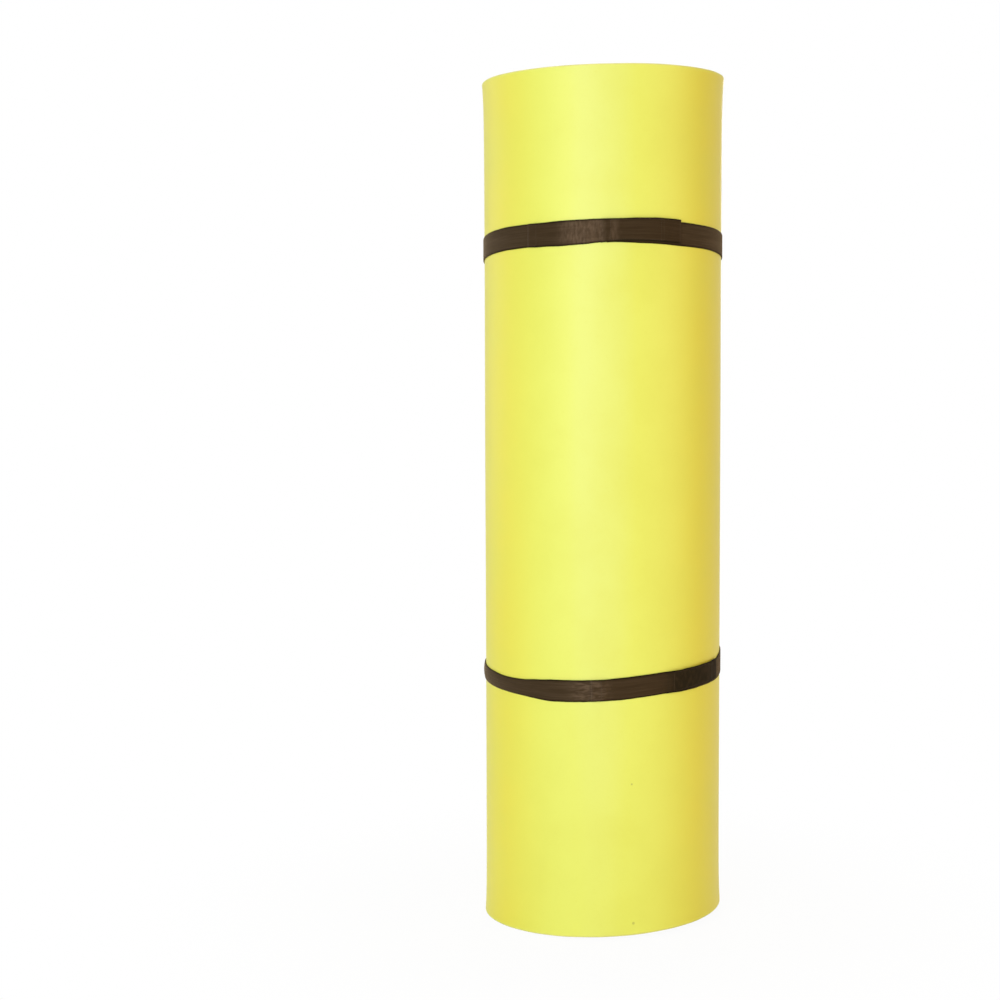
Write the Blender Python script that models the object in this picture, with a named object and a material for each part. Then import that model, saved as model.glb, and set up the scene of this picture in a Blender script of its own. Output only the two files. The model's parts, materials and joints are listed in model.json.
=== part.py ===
# A swim float mat, rolled up with its yellow side out and held by two hook-and-loop straps.
# The roll stands on its end: +Z is up, the front faces -Y, and angles turn from the front towards +X.

import math

import bmesh
import bpy
from mathutils import Vector

# The mat, in metres
mat_length = 5.49
mat_width = 1.83
yellow_thickness = 0.0140
black_thickness = 0.0108
blue_thickness = 0.0102
layer_gap = 0.0003
turn_gap = 0.0004

# The roll
core_diameter = 0.096
inner_end_lift = 0.012
inner_end_run = 0.070
outer_end_angle = math.radians(165)
facets_per_turn = 48

# Both straps
webbing_width = 0.048
webbing_thickness = 0.0020
strap_gap = 0.0003
hook_tape_thickness = 0.0012
hook_tape_width = 0.044
hook_tape_end_margin = 0.004
hook_end_length = 0.346
grip_length = 0.042
overlap_length = 0.168
lap_length = 0.025
hinge_lead = 0.012
step_run = 0.016
end_drift = 0.0024
drift_run = 0.110

# The box stitching
stitch_pitch = 0.0100
stitch_width = 0.0010
stitch_height = 0.0008
stitch_dip = 0.0004
stitch_margin = 0.0030

# The upper strap, measured down from the top of the roll, and how far its front and right stand up
upper_strap_inset = 0.359
upper_front_rise = 0.027
upper_right_rise = 0.005
upper_tab_end_angle = math.radians(40.2)

# The lower strap, measured up from the bottom of the roll, and how far its front and right stand up
lower_strap_inset = 0.558
lower_front_rise = -0.020
lower_right_rise = 0.011
lower_tab_end_angle = math.radians(71.4)

# Sizes that follow from the ones above
core_radius = core_diameter / 2
mat_thickness = blue_thickness + black_thickness + yellow_thickness + 2 * layer_gap
turn_pitch = mat_thickness + turn_gap
full_turn = 2 * math.pi
facet_angle = full_turn / facets_per_turn
sliver_share = 0.01


def clear_scene():
    for item in list(bpy.data.objects):
        bpy.data.objects.remove(item, do_unlink=True)


def make_material(name, colour, roughness, metallic=0.0):
    material = bpy.data.materials.new(name)
    material.use_nodes = True
    shader = material.node_tree.nodes["Principled BSDF"]
    shader.inputs["Base Color"].default_value = (*colour, 1.0)
    shader.inputs["Roughness"].default_value = roughness
    shader.inputs["Metallic"].default_value = metallic
    return material


def add_object(name, mesh_builder, material, origin=(0.0, 0.0, 0.0)):
    bmesh.ops.recalc_face_normals(mesh_builder, faces=mesh_builder.faces)
    bmesh.ops.translate(mesh_builder, verts=mesh_builder.verts, vec=-Vector(origin))
    mesh = bpy.data.meshes.new(name)
    mesh_builder.to_mesh(mesh)
    mesh_builder.free()
    mesh.materials.append(material)
    mesh.shade_smooth()
    mesh.set_sharp_from_angle(angle=math.radians(30))
    item = bpy.data.objects.new(name, mesh)
    item.location = origin
    bpy.context.scene.collection.objects.link(item)
    return item


def polar(angle, radius):
    # A point at an angle from the front, counterclockwise seen from above
    return radius * math.sin(angle), -radius * math.cos(angle)


def angle_grid(first, last, step):
    # The angles from first to last, with every whole step that lies well between them
    begin = math.ceil(first / step + sliver_share)
    end = math.floor(last / step - sliver_share)
    return [first, *(count * step for count in range(begin, end + 1)), last]


# The spiral. The length is measured along the middle of the mat, so it sets the angle wound.
middle_radius = core_radius + mat_thickness / 2
growth = math.sqrt(middle_radius**2 + turn_pitch * mat_length / math.pi) - middle_radius
wound_angle = growth * full_turn / turn_pitch
inner_end_angle = outer_end_angle - wound_angle
inner_end_turn = inner_end_run / middle_radius


def spiral_radius(angle, depth):
    # The radius at a wound angle of the surface that lies a depth out from the mat's inner face
    wound = angle - inner_end_angle
    sprung = max(0.0, 1.0 - wound / inner_end_turn)
    return core_radius + turn_pitch * wound / full_turn + depth - inner_end_lift * sprung**2


def roll_outline():
    # The outside of the last turn, with the step that the outer end makes
    first = outer_end_angle - full_turn
    angles = angle_grid(first, outer_end_angle, facet_angle)
    return [(angle, spiral_radius(angle, mat_thickness)) for angle in angles]


def outline_centre():
    points = [polar(angle, radius) for angle, radius in roll_outline()]
    across = [x for x, y in points]
    along = [y for x, y in points]
    return (min(across) + max(across)) / 2, (min(along) + max(along)) / 2


centre_x, centre_y = outline_centre()


def place(angle, radius, height):
    # A point about the spiral's own axis, put where the roll's outline is centred on the origin
    x, y = polar(angle, radius)
    return x - centre_x, y - centre_y, height


def ribbon(builder, rows):
    # One closed solid from rows of four corners, each joined to the next, with both ends closed
    corners = [[builder.verts.new(point) for point in row] for row in rows]
    for near, far in zip(corners, corners[1:]):
        for side in range(4):
            turned = (side + 1) % 4
            builder.faces.new((near[side], near[turned], far[turned], far[side]))
    builder.faces.new(corners[0])
    builder.faces.new(reversed(corners[-1]))


def make_layer(name, inner_depth, thickness, material):
    rows = []
    for angle in angle_grid(inner_end_angle, outer_end_angle, facet_angle):
        inner = spiral_radius(angle, inner_depth)
        outer = inner + thickness
        rows.append(
            (
                place(angle, inner, 0.0),
                place(angle, outer, 0.0),
                place(angle, outer, mat_width),
                place(angle, inner, mat_width),
            )
        )
    builder = bmesh.new()
    ribbon(builder, rows)
    return add_object(name, builder, material)


# The taut outline that a strap follows: the roll's own, pushed out by a gap and bridged at the step


def cross(a, b, c):
    return (b[0] - a[0]) * (c[1] - a[1]) - (b[1] - a[1]) * (c[0] - a[0])


def taut_outline():
    points = sorted(polar(angle, radius + strap_gap) for angle, radius in roll_outline())
    halves = []
    for ordered in (points, points[::-1]):
        half = []
        for point in ordered:
            while len(half) > 1 and cross(half[-2], half[-1], point) <= 0:
                half.pop()
            half.append(point)
        halves.append(half[:-1])
    hull = halves[0] + halves[1]
    return sorted((math.atan2(x, -y), math.hypot(x, y)) for x, y in hull)


taut_points = taut_outline()
strap_radius = sum(radius for angle, radius in taut_points) / len(taut_points)


def taut_radius(angle):
    # The distance from the spiral's axis to the taut outline along one angle
    turned = (angle - taut_points[0][0]) % full_turn + taut_points[0][0]
    ring = taut_points + [(taut_points[0][0] + full_turn, taut_points[0][1])]
    for (angle_a, radius_a), (angle_b, radius_b) in zip(ring, ring[1:]):
        if turned <= angle_b:
            span = math.sin(angle_b - angle_a)
            reach = radius_b * math.sin(angle_b - turned) + radius_a * math.sin(turned - angle_a)
            return radius_a * radius_b * span / reach
    return ring[-1][1]


def strap_angles(first, last, breaks):
    # The two ends, the breaks between them, and each corner of the outline not next to one of these
    nearest = strap_gap / strap_radius
    kept = [first, last, *(angle for angle in breaks if first + nearest < angle < last - nearest)]
    turned = [angle + turn * full_turn for turn in (0, 1, 2) for angle, radius in taut_points]
    for corner in turned:
        if first < corner < last and min(abs(corner - angle) for angle in kept) > nearest:
            kept.append(corner)
    return sorted(kept)


def profile(breaks, angle):
    # A value that runs straight between breakpoints of angle and value
    if angle <= breaks[0][0]:
        return breaks[0][1]
    for (angle_a, value_a), (angle_b, value_b) in zip(breaks, breaks[1:]):
        if angle <= angle_b:
            return value_a + (value_b - value_a) * (angle - angle_a) / (angle_b - angle_a)
    return breaks[-1][1]


def evenly_spaced(corners, spacing):
    # The corners of a path, with points between them about a spacing apart
    points = [corners[0]]
    for (x_a, y_a), (x_b, y_b) in zip(corners, corners[1:]):
        count = max(1, round(math.hypot(x_b - x_a, y_b - y_a) / spacing))
        for step in range(1, count + 1):
            share = step / count
            points.append((x_a + (x_b - x_a) * share, y_a + (y_b - y_a) * share))
    return points


def both_sides(path, width):
    # The two sides of a flat path, mitred where it turns
    sides = []
    for index, here in enumerate(path):
        back = Vector(here) - Vector(path[max(index - 1, 0)])
        ahead = Vector(path[min(index + 1, len(path) - 1)]) - Vector(here)
        back = (back if index else ahead).normalized()
        ahead = ahead.normalized() if ahead.length else back
        across = Vector((-ahead.y - back.y, ahead.x + back.x)).normalized()
        reach = width / 2 / across.dot(Vector((-ahead.y, ahead.x)))
        sides.append((Vector(here) + across * reach, Vector(here) - across * reach))
    return sides


class Strap:
    # The angles, offsets and heights of one strap

    def __init__(self, middle, front_rise, right_rise, tab_end_angle):
        self.middle = middle
        self.front_rise = front_rise
        self.right_rise = right_rise
        self.tab_end = tab_end_angle + full_turn
        self.under_end = self.tab_end - overlap_length / strap_radius - full_turn
        self.hinge = self.under_end + full_turn - hinge_lead / strap_radius
        self.seam = self.tab_end - hook_end_length / strap_radius
        self.lap_end = self.seam + lap_length / strap_radius
        self.hooks_start = self.under_end + full_turn + hook_tape_end_margin / strap_radius
        self.hooks_end = self.tab_end - grip_length / strap_radius
        step = step_run / strap_radius
        over_band = webbing_thickness + strap_gap
        over_hooks = over_band + hook_tape_thickness + strap_gap
        rise_end = self.hinge + hinge_lead / strap_radius
        self.outer_breaks = [
            (self.lap_end, over_band),
            (self.lap_end + step, 0.0),
            (rise_end - step, 0.0),
            (rise_end, over_hooks),
            (self.hooks_end + hook_tape_end_margin / strap_radius, over_hooks),
            (self.hooks_end + hook_tape_end_margin / strap_radius + step, over_band),
        ]
        covered_end = self.tab_end - full_turn
        self.drift_breaks = [
            (covered_end, -end_drift),
            (covered_end + drift_run / strap_radius, 0.0),
            (self.hinge, 0.0),
            (self.hinge + drift_run / strap_radius, end_drift),
        ]

    def height(self, angle):
        front = self.front_rise * math.cos(angle)
        right = self.right_rise * math.sin(angle)
        return self.middle + front + right + profile(self.drift_breaks, angle)

    def strip(self, builder, first, last, offset, thickness, width):
        breaks = [angle for angle, value in self.outer_breaks + self.drift_breaks]
        rows = []
        for angle in strap_angles(first, last, breaks):
            inner = taut_radius(angle) + offset(angle)
            outer = inner + thickness
            low = self.height(angle) - width / 2
            high = low + width
            rows.append(
                (
                    place(angle, inner, low),
                    place(angle, outer, low),
                    place(angle, outer, high),
                    place(angle, inner, high),
                )
            )
        ribbon(builder, rows)

    def box_stitch(self, builder, first, last, offset):
        # One thread sewn round a box on the webbing, thick along each stitch and thin at its dips
        run = (last - first) * strap_radius - 2 * stitch_margin
        rise = webbing_width - 2 * stitch_margin
        corners = [(0.0, 0.0), (0.0, rise), (run, rise), (run, 0.0), (stitch_pitch / 2, 0.0)]
        path = evenly_spaced(corners, stitch_pitch / 2)
        rows = []
        for index, (left, right) in enumerate(both_sides(path, stitch_width)):
            dip = stitch_dip * (index % 2)
            row = []
            for along, up in (left, right):
                angle = first + (stitch_margin + along) / strap_radius
                inner = taut_radius(angle) + offset + webbing_thickness + strap_gap
                outer = inner + stitch_height - dip
                height = self.height(angle) - rise / 2 + up
                row.append((place(angle, inner, height), place(angle, outer, height)))
            rows.append((row[0][0], row[0][1], row[1][1], row[1][0]))
        ribbon(builder, rows)

    def outer_offset(self, angle):
        return profile(self.outer_breaks, angle)


def make_strap(name, strap, materials):
    made = []

    builder = bmesh.new()
    strap.strip(
        builder,
        strap.under_end,
        strap.lap_end,
        lambda angle: 0.0,
        webbing_thickness,
        webbing_width,
    )
    made.append(add_object(name + "_loop_band", builder, materials["webbing"]))

    builder = bmesh.new()
    hinge_gap = strap_gap / strap_radius
    strap.strip(
        builder,
        strap.seam,
        strap.hinge,
        strap.outer_offset,
        webbing_thickness,
        webbing_width,
    )
    made.append(add_object(name + "_front_band", builder, materials["webbing"]))

    builder = bmesh.new()
    over_band = webbing_thickness + strap_gap
    strap.box_stitch(builder, strap.seam, strap.lap_end, over_band)
    made.append(add_object(name + "_lap_stitching", builder, materials["thread"]))

    hinge_radius = taut_radius(strap.hinge) + strap.outer_offset(strap.hinge)
    hinge_radius += webbing_thickness
    pivot = place(strap.hinge, hinge_radius, strap.height(strap.hinge))

    builder = bmesh.new()
    strap.strip(
        builder,
        strap.hinge + hinge_gap,
        strap.tab_end,
        strap.outer_offset,
        webbing_thickness,
        webbing_width,
    )
    made.append(add_object(name + "_tab", builder, materials["webbing"], pivot))

    builder = bmesh.new()
    strap.strip(
        builder,
        strap.hooks_start,
        strap.hooks_end,
        lambda angle: over_band,
        hook_tape_thickness,
        hook_tape_width,
    )
    made.append(add_object(name + "_hook_tape", builder, materials["hooks"], pivot))

    builder = bmesh.new()
    over_hooks = over_band + hook_tape_thickness + strap_gap
    strap.box_stitch(builder, strap.hooks_start, strap.hooks_end, over_hooks)
    made.append(add_object(name + "_tab_stitching", builder, materials["thread"], pivot))

    print(name, "strap: hinge at", [round(value, 5) for value in pivot])
    return made


def main():
    clear_scene()
    materials = {
        "yellow": make_material("yellow_foam", (0.88, 0.83, 0.16), 0.78),
        "black": make_material("black_foam", (0.018, 0.022, 0.030), 0.80),
        "blue": make_material("blue_foam", (0.20, 0.72, 0.86), 0.75),
        "webbing": make_material("dark_webbing", (0.060, 0.042, 0.026), 0.72),
        "hooks": make_material("hook_tape", (0.030, 0.024, 0.018), 0.60),
        "thread": make_material("seam_thread", (0.115, 0.088, 0.062), 0.65),
    }
    black_depth = blue_thickness + layer_gap
    yellow_depth = black_depth + black_thickness + layer_gap
    make_layer("blue_foam_layer", 0.0, blue_thickness, materials["blue"])
    make_layer("black_foam_layer", black_depth, black_thickness, materials["black"])
    make_layer("yellow_foam_layer", yellow_depth, yellow_thickness, materials["yellow"])
    upper = Strap(
        mat_width - upper_strap_inset,
        upper_front_rise,
        upper_right_rise,
        upper_tab_end_angle,
    )
    lower = Strap(
        lower_strap_inset,
        lower_front_rise,
        lower_right_rise,
        lower_tab_end_angle,
    )
    make_strap("upper_strap", upper, materials)
    make_strap("lower_strap", lower, materials)
    outer_radius = spiral_radius(outer_end_angle, mat_thickness)
    print("turns wound:", round(wound_angle / full_turn, 3))
    print("radius at the outer end:", round(outer_radius, 4))
    print("least gap between turns:", round(least_turn_gap(), 6))


def least_turn_gap():
    # The least distance from the outside of each turn to the inside of the turn around it
    least = turn_pitch
    last = outer_end_angle - full_turn
    for angle in angle_grid(inner_end_angle, last, facet_angle):
        outside = spiral_radius(angle, mat_thickness)
        around = spiral_radius(angle + full_turn, 0.0)
        least = min(least, (around - outside) * math.cos(facet_angle / 2))
    return least


main()
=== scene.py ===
import json
import math
import random

import bpy
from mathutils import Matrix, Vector, noise


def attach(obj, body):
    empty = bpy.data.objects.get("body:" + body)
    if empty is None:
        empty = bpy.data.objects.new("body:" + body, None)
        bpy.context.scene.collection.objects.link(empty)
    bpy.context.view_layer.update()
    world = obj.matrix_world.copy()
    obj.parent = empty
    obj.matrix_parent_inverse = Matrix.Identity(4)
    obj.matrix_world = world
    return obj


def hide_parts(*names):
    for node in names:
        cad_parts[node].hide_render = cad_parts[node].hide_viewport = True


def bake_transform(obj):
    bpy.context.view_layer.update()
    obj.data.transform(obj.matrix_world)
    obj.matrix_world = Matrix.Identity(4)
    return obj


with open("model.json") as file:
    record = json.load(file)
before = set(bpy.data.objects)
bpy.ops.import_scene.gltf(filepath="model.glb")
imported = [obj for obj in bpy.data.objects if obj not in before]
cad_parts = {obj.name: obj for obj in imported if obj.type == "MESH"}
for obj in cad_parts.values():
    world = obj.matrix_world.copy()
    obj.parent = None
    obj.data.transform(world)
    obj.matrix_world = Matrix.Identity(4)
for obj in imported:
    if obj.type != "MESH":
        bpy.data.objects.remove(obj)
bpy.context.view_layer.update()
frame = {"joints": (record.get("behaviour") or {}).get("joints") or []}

# A swim float mat rolled up with its yellow side out, standing on end, in two hook-and-loop straps.
# Angles turn from the front (-Y) towards +X, seen from above.

scene = bpy.context.scene
scene.view_settings.view_transform = "Standard"
fullTurn = 2 * math.pi
mm = 0.001


# small helpers

def smooth(low, high, value):
    share = min(1.0, max(0.0, (value - low) / (high - low)))
    return share * share * (3 - 2 * share)


def bell(distance, spread):
    return math.exp(-(distance / spread) ** 2)


def spaced(first, last, count):
    # count + 1 values from first to last
    return [first + (last - first) * step / count for step in range(count + 1)]


def ripple(x, y, z):
    # smooth unevenness, from -1 to 1
    return noise.noise(Vector((x, y, z)))


def polar(angle, radius):
    return radius * math.sin(angle), -radius * math.cos(angle)


def meshObject(name, points, faces, material, marks=None, uvs=None, crease=50):
    # marks: a value per point for each named attribute; uvs: one pair per point
    mesh = bpy.data.meshes.new(name)
    mesh.from_pydata(points, [], faces)
    for markName, values in (marks or {}).items():
        mesh.attributes.new(markName, "FLOAT", "POINT").data.foreach_set("value", values)
    if uvs:
        layer = mesh.uv_layers.new(name="strapMap")
        for loop in mesh.loops:
            layer.data[loop.index].uv = uvs[loop.vertex_index]
    mesh.materials.append(material)
    mesh.shade_smooth()
    mesh.set_sharp_from_angle(angle=math.radians(crease))
    mesh.validate()
    item = bpy.data.objects.new(name, mesh)
    scene.collection.objects.link(item)
    return item


def sweptFaces(rowCount, ringCount, start=0):
    # quads between neighbouring rings, and a face over each end
    faces = []
    for row in range(rowCount - 1):
        for spot in range(ringCount):
            after = (spot + 1) % ringCount
            near, far = start + row * ringCount, start + (row + 1) * ringCount
            faces.append((near + spot, near + after, far + after, far + spot))
    faces.append(tuple(start + spot for spot in reversed(range(ringCount))))
    last = start + (rowCount - 1) * ringCount
    faces.append(tuple(last + spot for spot in range(ringCount)))
    return faces


# node helpers

def feed(tree, socket, value):
    # a socket is linked, anything else is set as the plain value
    if isinstance(value, bpy.types.NodeSocket):
        tree.links.new(value, socket)
    elif isinstance(value, tuple) and len(value) == 3 and socket.type == "RGBA":
        socket.default_value = (*value, 1.0)
    else:
        socket.default_value = value


def addNode(tree, kind, inputs=None, **settings):
    node = tree.nodes.new(kind)
    for name, value in settings.items():
        setattr(node, name, value)
    for name, value in (inputs or {}).items():
        feed(tree, node.inputs[name], value)
    return node


def treeOf(*values):
    # the node tree that the linked values are in
    return next(value for value in values if isinstance(value, bpy.types.NodeSocket)).id_data


def calc(operation, first, second=0.0, clamp=False):
    node = addNode(treeOf(first, second), "ShaderNodeMath", {0: first, 1: second}, operation=operation)
    node.use_clamp = clamp
    return node.outputs[0]


def times(first, second, clamp=False):
    return calc("MULTIPLY", first, second, clamp)


def plus(first, second, clamp=False):
    return calc("ADD", first, second, clamp)


def mark(tree, name):
    # a value kept on the points of the piece
    return addNode(tree, "ShaderNodeAttribute", attribute_name=name).outputs["Fac"]


def blendColour(share, first, second):
    inputs = {0: share, 6: first, 7: second}
    return addNode(treeOf(share, first, second), "ShaderNodeMix", inputs, data_type="RGBA").outputs[2]


def remap(value, low, high, toLow=0.0, toHigh=1.0):
    inputs = {0: value, 1: low, 2: high, 3: toLow, 4: toHigh}
    node = addNode(value.id_data, "ShaderNodeMapRange", inputs, interpolation_type="SMOOTHSTEP")
    return node.outputs[0]


def grainNoise(vector, scale, detail=2.0, roughness=0.5):
    inputs = {"Vector": vector, "Scale": scale, "Detail": detail, "Roughness": roughness}
    return addNode(vector.id_data, "ShaderNodeTexNoise", inputs).outputs[0]


def newGroup(name, inputs):
    # a surface group: each input has a name and a default, a colour or a number
    group = bpy.data.node_groups.new(name, "ShaderNodeTree")
    for socketName, default in inputs.items():
        kind = "NodeSocketColor" if isinstance(default, tuple) else "NodeSocketFloat"
        socket = group.interface.new_socket(socketName, in_out="INPUT", socket_type=kind)
        socket.default_value = (*default, 1.0) if isinstance(default, tuple) else default
    for socketName, kind in (("Colour", "Color"), ("Roughness", "Float"), ("Height", "Float")):
        group.interface.new_socket(socketName, in_out="OUTPUT", socket_type="NodeSocket" + kind)
    given, result = group.nodes.new("NodeGroupInput"), group.nodes.new("NodeGroupOutput")
    return group, given.outputs, result.inputs


def newMaterial(name, fixed):
    # fixed: plain values set on the shader's own sockets
    material = bpy.data.materials.new(name)
    material.use_nodes = True
    tree = material.node_tree
    shader = tree.nodes["Principled BSDF"]
    for socketName, value in fixed.items():
        feed(tree, shader.inputs[socketName], value)
    return material, tree, shader


def coverShader(tree, shader, colour, roughness, height, bump):
    # bump: strength and distance
    tree.links.new(colour, shader.inputs["Base Color"])
    tree.links.new(roughness, shader.inputs["Roughness"])
    inputs = {"Strength": bump[0], "Distance": bump[1], "Height": height}
    tree.links.new(addNode(tree, "ShaderNodeBump", inputs).outputs[0], shader.inputs["Normal"])


def finishSurface(tree, shader, group, values, bump):
    # a group's colour, roughness and height go into the shader
    node = addNode(tree, "ShaderNodeGroup", node_tree=group)
    for name, value in values.items():
        feed(tree, node.inputs[name], value)
    made = node.outputs
    coverShader(tree, shader, made["Colour"], made["Roughness"], made["Height"], bump)


# camera, light and floor

cameraSpot = {
    "place": (0.0, -4.25, 1.208),
    "tiltDown": 3.887,      # degrees
    "lens": 68.85,
    "sensor": 36.0,
    "shiftX": -0.1029,
}

studio = {
    "worldLight": (1.0, 0.93, 0.80),
    "worldStrength": 0.236,
    "aim": (0.0, 0.0, 0.92),
    # place, size, power and colour
    "lamps": {
        "keySoftbox": ((-1.72, -4.27, 1.85), 2.6, 130.5, (0.877, 0.912, 1.0)),
        "leftSoftbox": ((-3.26, 1.52, 1.6), 2.0, 16.6, (0.877, 0.912, 1.0)),
        "rightSoftbox": ((3.29, -1.46, 1.6), 2.0, 35.0, (1.0, 0.69, 0.38)),
        "backSoftbox": ((0.30, 4.40, 2.6), 2.2, 94.0, (1.0, 0.96, 0.90)),
        "topSoftbox": ((0.0, -0.2, 4.6), 1.2, 33.0, (1.0, 0.98, 0.94)),
    },
}

floorLook = {
    "size": 40.0,
    "colour": (0.92, 0.92, 0.92),
    "roughness": 0.9,
    "ownWhite": 0.955,      # share of plain white that the camera sees close to the roll
    "fadeStart": 0.30,      # beyond this far out the floor goes over to plain white
    "fadeEnd": 1.2,
}


def placeObject(name, data, place, turn):
    item = bpy.data.objects.new(name, data)
    item.location = place
    item.rotation_euler = turn
    scene.collection.objects.link(item)
    return item


def addCamera():
    data = bpy.data.cameras.new("productCamera")
    data.lens = cameraSpot["lens"]
    data.sensor_width = cameraSpot["sensor"]
    data.shift_x = cameraSpot["shiftX"]
    data.clip_end = 200
    turn = (math.radians(90 - cameraSpot["tiltDown"]), 0, 0)
    scene.camera = placeObject("productCamera", data, cameraSpot["place"], turn)


def addSoftbox(name, place, size, power, colour):
    data = bpy.data.lights.new(name, "AREA")
    data.shape = "SQUARE"
    data.size = size
    data.energy = power
    data.color = colour
    aim = Vector(studio["aim"]) - Vector(place)
    placeObject(name, data, place, aim.to_track_quat("-Z", "Y").to_euler())


def seenDirectly(tree):
    # 1 where the camera, a mirror or glass looks, 0 for the light that reaches the object
    path = addNode(tree, "ShaderNodeLightPath")
    straight = calc("MAXIMUM", path.outputs["Is Camera Ray"], path.outputs["Is Glossy Ray"])
    return calc("MAXIMUM", straight, path.outputs["Is Transmission Ray"])


def mixShaders(tree, share, first, second, out):
    mixed = addNode(tree, "ShaderNodeMixShader", {0: share, 1: first, 2: second})
    tree.links.new(mixed.outputs[0], out.inputs["Surface"])


def lightWorld():
    world = bpy.data.worlds.new("studioWorld")
    scene.world = world
    world.use_nodes = True
    tree = world.node_tree
    tree.nodes.clear()
    white = addNode(tree, "ShaderNodeBackground", {"Color": (1.0, 1.0, 1.0), "Strength": 1.0})
    glow = {"Color": studio["worldLight"], "Strength": studio["worldStrength"]}
    soft = addNode(tree, "ShaderNodeBackground", glow)
    out = addNode(tree, "ShaderNodeOutputWorld")
    mixShaders(tree, seenDirectly(tree), soft.outputs[0], white.outputs[0], out)


def addFloor():
    half = floorLook["size"] / 2
    corners = [(-half, -half, 0), (half, -half, 0), (half, half, 0), (-half, half, 0)]
    matt = {"Base Color": floorLook["colour"], "Specular IOR Level": 0.0}
    matt["Roughness"] = floorLook["roughness"]
    material, tree, shader = newMaterial("paleFloor", matt)
    spot = addNode(tree, "ShaderNodeTexCoord").outputs["Object"]
    away = addNode(tree, "ShaderNodeVectorMath", {0: spot}, operation="LENGTH").outputs["Value"]
    start, end = floorLook["fadeStart"], floorLook["fadeEnd"]
    fade = remap(away, start, end, floorLook["ownWhite"], 1.0)
    share = times(seenDirectly(tree), fade)
    white = addNode(tree, "ShaderNodeEmission", {"Color": (1.0, 1.0, 1.0), "Strength": 1.0})
    out = next(node for node in tree.nodes if node.type == "OUTPUT_MATERIAL")
    mixShaders(tree, share, shader.outputs[0], white.outputs[0], out)
    meshObject("paleFloor", corners, [(0, 1, 2, 3)], material)


addCamera()
lightWorld()
for lampName, lamp in studio["lamps"].items():
    addSoftbox(lampName, *lamp)
addFloor()
print("camera, light and floor set")


# the rolled mat

mat = {
    "length": 5.49,
    "width": 1.83,
    "thickness": 0.0356,
    "turnGap": 0.0004,
    "coreRadius": 0.048,
    "innerEndLift": 0.012,
    "innerEndRun": 0.070,
    "outerEndAngle": math.radians(165),
    "outlineStep": math.radians(7.5),   # the facets that centre the roll on its frame
    "stepsPerTurn": 90,
    "endSkew": 0.0085,      # the ends stand higher on the right than on the left by twice this
    "skewFade": 2.5,        # turns over which that dies out inwards
    "flare": 0.0034,        # the ends of the roll open out a little, the top end more
    "topFlareShare": 1.4,
    "flareRun": 0.045,
    "waver": 0.0005,        # slow unevenness of the outside
    "endSpring": 0.0010,    # the free end stands off a little
    "endSpringRun": 0.110,
    "cutWobble": 0.0005,    # unevenness of the cut ends, and how far in it reaches
    "cutWobbleReach": 0.02,
    "wearReach": 0.007,
    "endRows": (0.0, 0.0005, 0.0015, 0.003),    # rows where the free ends are rounded off
    "endRounding": 0.0022,
}

layers = {
    "blueFoam": {"from": 0.0, "to": 0.01030, "innerCorner": 0.0024, "outerCorner": 0.0004},
    "blackFoam": {"from": 0.01035, "to": 0.02155, "innerCorner": 0.0004, "outerCorner": 0.0004},
    "yellowFoam": {"from": 0.02160, "to": 0.0356, "innerCorner": 0.0004, "outerCorner": 0.0030},
}

turnPitch = mat["thickness"] + mat["turnGap"]
middleRadius = mat["coreRadius"] + mat["thickness"] / 2
growth = math.sqrt(middleRadius ** 2 + turnPitch * mat["length"] / math.pi) - middleRadius
outerEnd = mat["outerEndAngle"]
innerEnd = outerEnd - growth * fullTurn / turnPitch
outerRadius = mat["coreRadius"] + growth + mat["thickness"]


def spiralRadius(angle, depth):
    # the surface a depth out from the mat's inner face, at a wound angle
    wound = angle - innerEnd
    sprung = max(0.0, 1.0 - wound * middleRadius / mat["innerEndRun"])
    base = mat["coreRadius"] + turnPitch * wound / fullTurn + depth
    return base - mat["innerEndLift"] * sprung ** 2


def outlineMiddle():
    # the middle of the roll's faceted outline, seen from above
    step = mat["outlineStep"]
    first = math.ceil((outerEnd - fullTurn) / step)
    angles = [outerEnd - fullTurn, outerEnd]
    angles += [step * (first + count) for count in range(round(fullTurn / step))]
    spots = [polar(angle, spiralRadius(angle, mat["thickness"])) for angle in angles]
    xs, ys = [spot[0] for spot in spots], [spot[1] for spot in spots]
    return (min(xs) + max(xs)) / 2, (min(ys) + max(ys)) / 2


middleX, middleY = outlineMiddle()


def matPoint(angle, depth, along):
    turnsIn = (outerEnd - angle) / fullTurn
    radius = spiralRadius(angle, depth)
    ends = math.exp(-along / mat["flareRun"])
    ends += mat["topFlareShare"] * math.exp(-(mat["width"] - along) / mat["flareRun"])
    side, front = math.sin(angle), math.cos(angle)
    change = mat["flare"] * ends + mat["waver"] * ripple(1.6 * side, 1.6 * front, 2.4 * along)
    radius += change * radius / outerRadius
    fromEnd = (outerEnd - angle) * outerRadius
    if fromEnd < mat["endSpringRun"]:
        share = 1 - fromEnd / mat["endSpringRun"]
        radius += mat["endSpring"] * share ** 2
    rise = mat["endSkew"] * (1 + side) * math.exp(-turnsIn / mat["skewFade"])
    x, y = polar(angle, radius)
    return x - middleX, y - middleY, along + rise


def levelsUp(ends, plainFrom, count):
    # heights up a layer's face, close together near both ends
    width = mat["width"]
    middle = spaced(plainFrom, width - plainFrom, count)
    return ends + middle + [width - height for height in reversed(ends)]


fineLevels = levelsUp([0.004, 0.010, 0.020, 0.035, 0.055, 0.085, 0.130], 0.19, 26)
plainLevels = levelsUp([0.004, 0.012, 0.030, 0.065, 0.130], 0.30, 5)
roundedFrom = 0.001     # smaller corners stay as they are where the free ends are rounded off


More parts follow.
